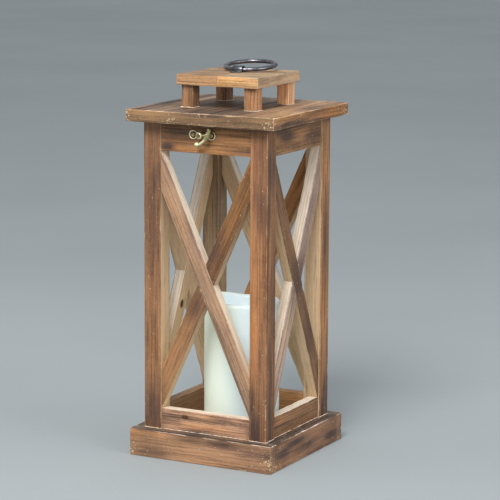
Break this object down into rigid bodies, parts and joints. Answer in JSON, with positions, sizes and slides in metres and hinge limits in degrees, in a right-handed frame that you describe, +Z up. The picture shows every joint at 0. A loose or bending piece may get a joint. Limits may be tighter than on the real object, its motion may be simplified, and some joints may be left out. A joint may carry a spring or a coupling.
{
  "type": "hanging lantern",
  "caption": "Square wooden lantern with X-braced open sides, a hinged lid held by a hook latch, a lifting ring on a raised cap, and a battery pillar candle on its floor.",
  "frame": {"origin": "centre of the base, on the surface that the lantern stands on", "axes": "+Z up, -Y towards the front with the latch, +X to the right seen from the front"},
  "size_m": [0.191, 0.191, 0.4561],
  "materials": {
    "frame_wood": "brown stain, open grain, worn edges",
    "skirt_wood": "dark brown stain, weathered",
    "floor_wood": "light brown stain",
    "lid_wood": "brown stain, weathered, worn edges",
    "brad_steel": "dull nail heads",
    "ring_metal": "dark gunmetal plating",
    "hinge_brass": "antique plating",
    "screw_brass": "antique plating",
    "screw_steel": "dull",
    "latch_brass": "antique plating with dark recesses",
    "wax": "ivory wax, smooth and slightly translucent",
    "flame_plastic": "translucent warm white",
    "core_plastic": "ivory moulded plastic",
    "battery_steel": "wrapped cell",
    "switch_plastic": "black moulded plastic"
  },
  "bodies": {
    "frame": {"front_left_post": "frame_wood", "front_right_post": "frame_wood", "back_right_post": "frame_wood", "back_left_post": "frame_wood", "front_bottom_rail": "frame_wood", "front_top_rail": "frame_wood", "front_long_brace": "frame_wood", "front_upper_brace": "frame_wood", "front_lower_brace": "frame_wood", "right_bottom_rail": "frame_wood", "right_top_rail": "frame_wood", "right_long_brace": "frame_wood", "right_upper_brace": "frame_wood", "right_lower_brace": "frame_wood", "back_bottom_rail": "frame_wood", "back_top_rail": "frame_wood", "back_long_brace": "frame_wood", "back_upper_brace": "frame_wood", "back_lower_brace": "frame_wood", "left_bottom_rail": "frame_wood", "left_top_rail": "frame_wood", "left_long_brace": "frame_wood", "left_upper_brace": "frame_wood", "left_lower_brace": "frame_wood", "front_skirt_board": "skirt_wood", "right_skirt_board": "skirt_wood", "back_skirt_board": "skirt_wood", "left_skirt_board": "skirt_wood", "floor_board": "floor_wood", "frame_brads": "brad_steel", "hinge_frame_leaves": "hinge_brass", "hinge_pins": "screw_steel", "hinge_frame_screws": "screw_brass", "catch_plate": "latch_brass", "catch_stud": "latch_brass", "catch_screws": "screw_brass"},
    "lid": {"roof_board": "lid_wood", "front_left_block": "lid_wood", "front_right_block": "lid_wood", "back_right_block": "lid_wood", "back_left_block": "lid_wood", "left_cap_board": "lid_wood", "right_cap_board": "lid_wood", "lid_brads": "brad_steel", "ring_saddle": "ring_metal", "ring_saddle_screws": "ring_metal", "hinge_lid_leaves": "hinge_brass", "hinge_lid_screws": "screw_brass", "hook_bracket": "latch_brass", "hook_rivet": "latch_brass", "hook_bracket_screws": "screw_brass"},
    "hook": {"latch_hook": "latch_brass"},
    "ring": {"ring_handle": "ring_metal"},
    "candle": {"candle_shell": "wax", "candle_flame": "flame_plastic", "candle_core": "core_plastic", "candle_battery_cover": "core_plastic", "candle_batteries": "battery_steel"},
    "switch": {"candle_switch": "switch_plastic"}
  },
  "joints": [
    {"name": "lid_hinge", "type": "hinge", "parent": "frame", "child": "lid", "pos_m": [0, 0.081, 0.3896], "axis": [-1, 0, 0], "range_deg": [0, 95]},
    {"name": "hook_pivot", "type": "hinge", "parent": "lid", "child": "hook", "pos_m": [0.0095, -0.0872, 0.3874], "axis": [0, -1, 0], "range_deg": [0, 105]},
    {"name": "ring_swing", "type": "hinge", "parent": "lid", "child": "ring", "pos_m": [0, 0, 0.4484], "axis": [1, 0, 0], "range_deg": [-5, 170]},
    {"name": "candle_lift", "type": "slide", "parent": "frame", "child": "candle", "axis": [0, 0, 1], "range_m": [0, 0.2]},
    {"name": "switch_slide", "type": "slide", "parent": "candle", "child": "switch", "axis": [1, 0, 0], "range_m": [0, 0.004]}
  ]
}
